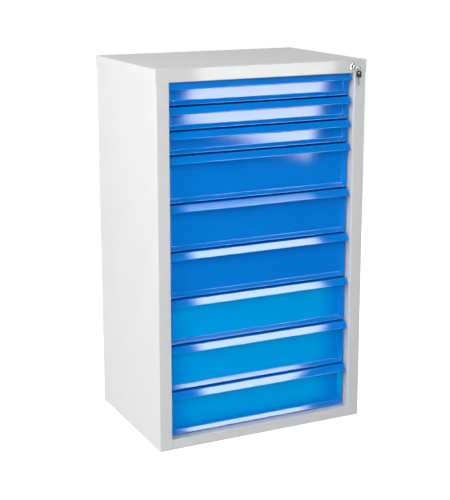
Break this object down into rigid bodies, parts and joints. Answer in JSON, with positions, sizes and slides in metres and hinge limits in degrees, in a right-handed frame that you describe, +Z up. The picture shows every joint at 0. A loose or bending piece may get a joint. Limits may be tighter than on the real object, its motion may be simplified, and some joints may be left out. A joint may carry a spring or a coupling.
{
  "type": "drawer cabinet",
  "caption": "Upright steel cabinet with lockable drawers on telescopic slides, folded handle lips and a keyed central lock.",
  "frame": {"origin": "centre of the casing's footprint, on the floor", "axes": "+Z up along the cabinet's height, the drawers open towards -Y, +X to the right seen from the front"},
  "size_m": [0.73, 0.534, 1.2],
  "materials": {
    "grey_paint": "semi-gloss powder coat",
    "blue_paint": "gloss powder coat",
    "zinc_steel": "bright zinc plate",
    "chrome_plate": "polished",
    "nickel_steel": "nickel plated",
    "black_plastic": "moulded"
  },
  "bodies": {
    "cabinet": {"left_side_panel": "grey_paint", "right_side_panel": "grey_paint", "back_panel": "grey_paint", "base_tray": "grey_paint", "top_cover": "grey_paint", "left_front_upright": "zinc_steel", "right_front_upright": "zinc_steel", "left_rear_upright": "zinc_steel", "right_rear_upright": "zinc_steel", "slide_fixed_members": "zinc_steel", "slide_rivets": "zinc_steel", "lock_housing": "chrome_plate", "lock_nut": "zinc_steel", "locking_bar_studs": "zinc_steel"},
    "drawer_1": {"drawer_1_front": "blue_paint", "drawer_1_tray": "blue_paint", "drawer_1_runners": "zinc_steel"},
    "slide_1": {"slide_1_middle": "zinc_steel"},
    "drawer_2": {"drawer_2_front": "blue_paint", "drawer_2_tray": "blue_paint", "drawer_2_runners": "zinc_steel"},
    "slide_2": {"slide_2_middle": "zinc_steel"},
    "drawer_3": {"drawer_3_front": "blue_paint", "drawer_3_tray": "blue_paint", "drawer_3_runners": "zinc_steel"},
    "slide_3": {"slide_3_middle": "zinc_steel"},
    "drawer_4": {"drawer_4_front": "blue_paint", "drawer_4_tray": "blue_paint", "drawer_4_runners": "zinc_steel"},
    "slide_4": {"slide_4_middle": "zinc_steel"},
    "drawer_5": {"drawer_5_front": "blue_paint", "drawer_5_tray": "blue_paint", "drawer_5_runners": "zinc_steel"},
    "slide_5": {"slide_5_middle": "zinc_steel"},
    "drawer_6": {"drawer_6_front": "blue_paint", "drawer_6_tray": "blue_paint", "drawer_6_runners": "zinc_steel"},
    "slide_6": {"slide_6_middle": "zinc_steel"},
    "drawer_7": {"drawer_7_front": "blue_paint", "drawer_7_tray": "blue_paint", "drawer_7_runners": "zinc_steel"},
    "slide_7": {"slide_7_middle": "zinc_steel"},
    "drawer_8": {"drawer_8_front": "blue_paint", "drawer_8_tray": "blue_paint", "drawer_8_runners": "zinc_steel"},
    "slide_8": {"slide_8_middle": "zinc_steel"},
    "drawer_9": {"drawer_9_front": "blue_paint", "drawer_9_tray": "blue_paint", "drawer_9_runners": "zinc_steel"},
    "slide_9": {"slide_9_middle": "zinc_steel"},
    "lock": {"lock_plug": "chrome_plate", "lock_cam": "zinc_steel", "lock_key": "nickel_steel"},
    "ring": {"key_ring": "nickel_steel"},
    "spare_key": {"spare_key_bow": "black_plastic", "spare_key_blade": "nickel_steel"},
    "locking_bar": {"locking_bar": "zinc_steel"}
  },
  "joints": [
    {"name": "drawer_1_slide", "type": "slide", "parent": "cabinet", "child": "drawer_1", "axis": [0, -1, 0], "range_m": [0, 0.4]},
    {"name": "slide_1_travel", "type": "slide", "parent": "cabinet", "child": "slide_1", "axis": [0, -1, 0], "range_m": [0, 0.2]},
    {"name": "drawer_2_slide", "type": "slide", "parent": "cabinet", "child": "drawer_2", "axis": [0, -1, 0], "range_m": [0, 0.4]},
    {"name": "slide_2_travel", "type": "slide", "parent": "cabinet", "child": "slide_2", "axis": [0, -1, 0], "range_m": [0, 0.2]},
    {"name": "drawer_3_slide", "type": "slide", "parent": "cabinet", "child": "drawer_3", "axis": [0, -1, 0], "range_m": [0, 0.4]},
    {"name": "slide_3_travel", "type": "slide", "parent": "cabinet", "child": "slide_3", "axis": [0, -1, 0], "range_m": [0, 0.2]},
    {"name": "drawer_4_slide", "type": "slide", "parent": "cabinet", "child": "drawer_4", "axis": [0, -1, 0], "range_m": [0, 0.4]},
    {"name": "slide_4_travel", "type": "slide", "parent": "cabinet", "child": "slide_4", "axis": [0, -1, 0], "range_m": [0, 0.2]},
    {"name": "drawer_5_slide", "type": "slide", "parent": "cabinet", "child": "drawer_5", "axis": [0, -1, 0], "range_m": [0, 0.4]},
    {"name": "slide_5_travel", "type": "slide", "parent": "cabinet", "child": "slide_5", "axis": [0, -1, 0], "range_m": [0, 0.2]},
    {"name": "drawer_6_slide", "type": "slide", "parent": "cabinet", "child": "drawer_6", "axis": [0, -1, 0], "range_m": [0, 0.4]},
    {"name": "slide_6_travel", "type": "slide", "parent": "cabinet", "child": "slide_6", "axis": [0, -1, 0], "range_m": [0, 0.2]},
    {"name": "drawer_7_slide", "type": "slide", "parent": "cabinet", "child": "drawer_7", "axis": [0, -1, 0], "range_m": [0, 0.4]},
    {"name": "slide_7_travel", "type": "slide", "parent": "cabinet", "child": "slide_7", "axis": [0, -1, 0], "range_m": [0, 0.2]},
    {"name": "drawer_8_slide", "type": "slide", "parent": "cabinet", "child": "drawer_8", "axis": [0, -1, 0], "range_m": [0, 0.4]},
    {"name": "slide_8_travel", "type": "slide", "parent": "cabinet", "child": "slide_8", "axis": [0, -1, 0], "range_m": [0, 0.2]},
    {"name": "drawer_9_slide", "type": "slide", "parent": "cabinet", "child": "drawer_9", "axis": [0, -1, 0], "range_m": [0, 0.4]},
    {"name": "slide_9_travel", "type": "slide", "parent": "cabinet", "child": "slide_9", "axis": [0, -1, 0], "range_m": [0, 0.2]},
    {"name": "locking_bar_slide", "type": "slide", "parent": "cabinet", "child": "locking_bar", "axis": [0, 0, 1], "range_m": [-0.012, 0]},
    {"name": "lock_turn", "type": "hinge", "parent": "cabinet", "child": "lock", "pos_m": [0.312, -0.253, 1.179], "axis": [0, -1, 0], "range_deg": [-90, 0]},
    {"name": "ring_hang", "type": "hinge", "parent": "lock", "child": "ring", "pos_m": [0.3227, -0.273, 1.179], "axis": [0, -1, 0], "range_deg": [0, 90]},
    {"name": "spare_key_swing", "type": "hinge", "parent": "ring", "child": "spare_key", "pos_m": [0.3227, -0.273, 1.1627], "axis": [0.866, 0.5, 0], "range_deg": [-60, 15]}
  ],
  "couplings": [
    {"joint": "slide_1_travel", "follows": "drawer_1_slide", "ratio": 0.5},
    {"joint": "slide_2_travel", "follows": "drawer_2_slide", "ratio": 0.5},
    {"joint": "slide_3_travel", "follows": "drawer_3_slide", "ratio": 0.5},
    {"joint": "slide_4_travel", "follows": "drawer_4_slide", "ratio": 0.5},
    {"joint": "slide_5_travel", "follows": "drawer_5_slide", "ratio": 0.5},
    {"joint": "slide_6_travel", "follows": "drawer_6_slide", "ratio": 0.5},
    {"joint": "slide_7_travel", "follows": "drawer_7_slide", "ratio": 0.5},
    {"joint": "slide_8_travel", "follows": "drawer_8_slide", "ratio": 0.5},
    {"joint": "slide_9_travel", "follows": "drawer_9_slide", "ratio": 0.5},
    {"joint": "lock_turn", "follows": "locking_bar_slide", "rad_per_m": 130.9},
    {"joint": "ring_hang", "follows": "locking_bar_slide", "rad_per_m": -130.9}
  ]
}
